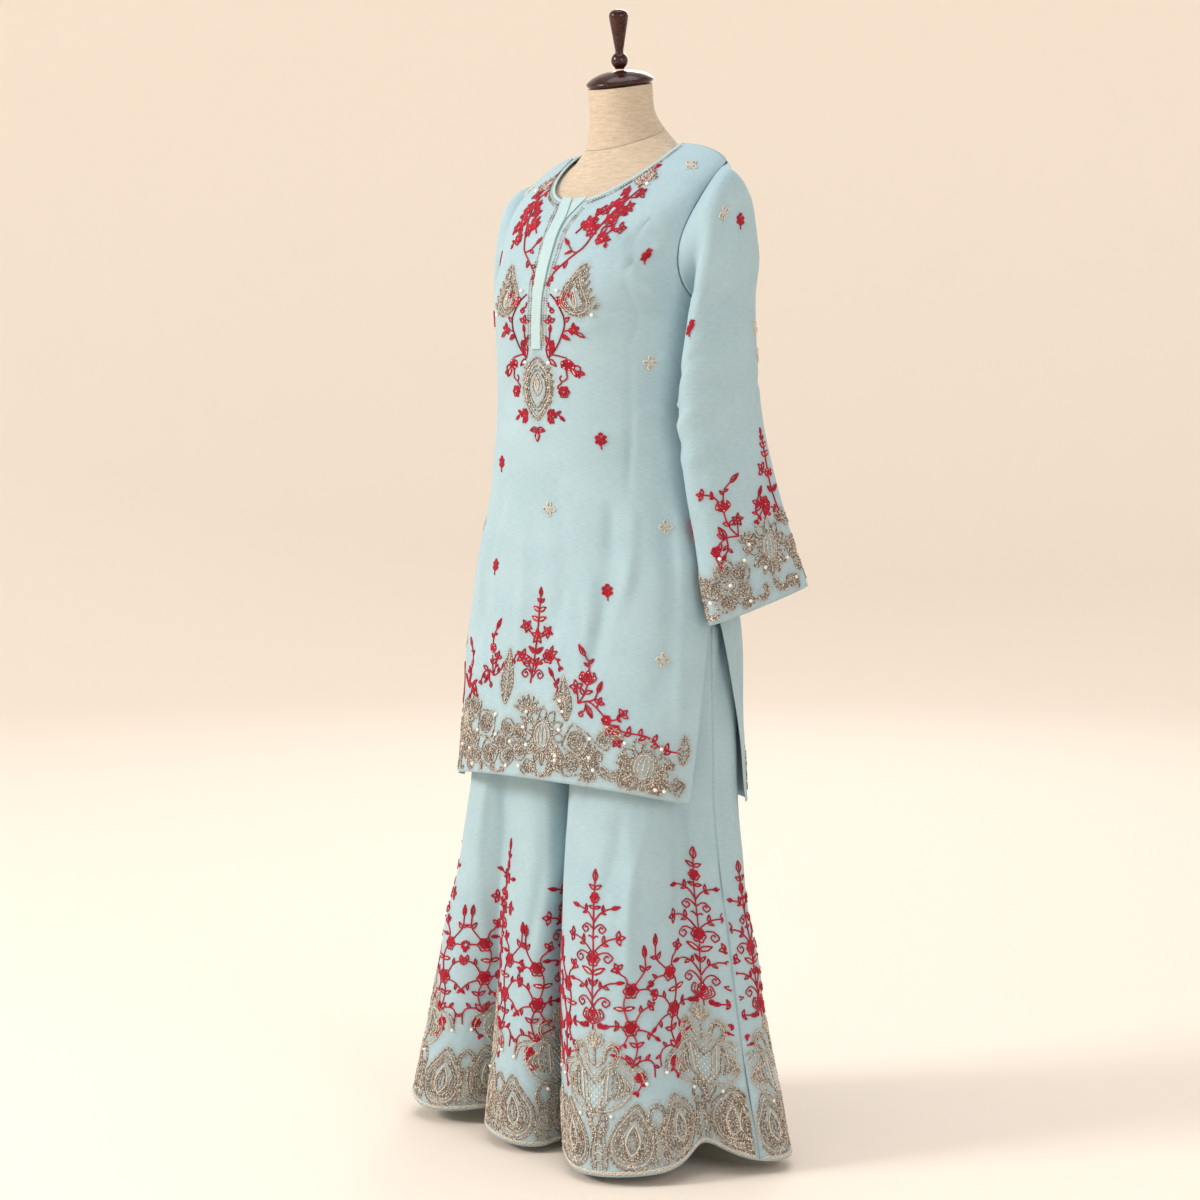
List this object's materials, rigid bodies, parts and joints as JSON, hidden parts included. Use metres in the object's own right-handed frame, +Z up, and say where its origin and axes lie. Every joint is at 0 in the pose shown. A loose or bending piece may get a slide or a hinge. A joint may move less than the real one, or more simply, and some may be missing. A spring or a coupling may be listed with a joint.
{
  "type": "salwar kameez suit on a limbless dress form",
  "caption": "Powder-blue embroidered salwar kameez: short long-sleeved kameez with side slits over wide flared trousers, hung on a limbless linen dress form with a turned wooden cap.",
  "frame": {"origin": "in the plane of the base disc's underside, under the middle of the body", "axes": "+Z up, front of the suit faces -Y, the wearer's left is +X"},
  "size_m": [0.6222, 0.4008, 1.6094],
  "materials": {
    "crepe": "powder-blue crepe, fine crosswise slub, soft sheen",
    "edging": "pale blue crepe binding, bands and waistband",
    "crimson_thread": "crimson chain-stitch thread with a silky sheen",
    "gold_thread": "antique beige-gold metallic cord and bead embroidery",
    "pearl": "white pearl beads and drops, glossy",
    "linen": "tightly stretched beige linen cover",
    "lacquered_wood": "dark cherry lacquer, glossy",
    "steel": "dark grey powder-coated steel"
  },
  "bodies": {
    "root": {"kameez_front": "crepe", "kameez_back": "crepe", "placket_under": "edging", "placket_over": "edging", "neck_binding": "edging", "sleeve_left": "crepe", "sleeve_right": "crepe", "trouser_left_front": "crepe", "trouser_left_back": "crepe", "trouser_right_front": "crepe", "trouser_right_back": "crepe", "waistband": "edging", "form_torso": "linen", "form_neck": "linen", "neck_cap": "lacquered_wood", "finial": "lacquered_wood", "base_disc": "steel", "pole": "steel", "pole_plate": "steel"}
  },
  "joints": []
}
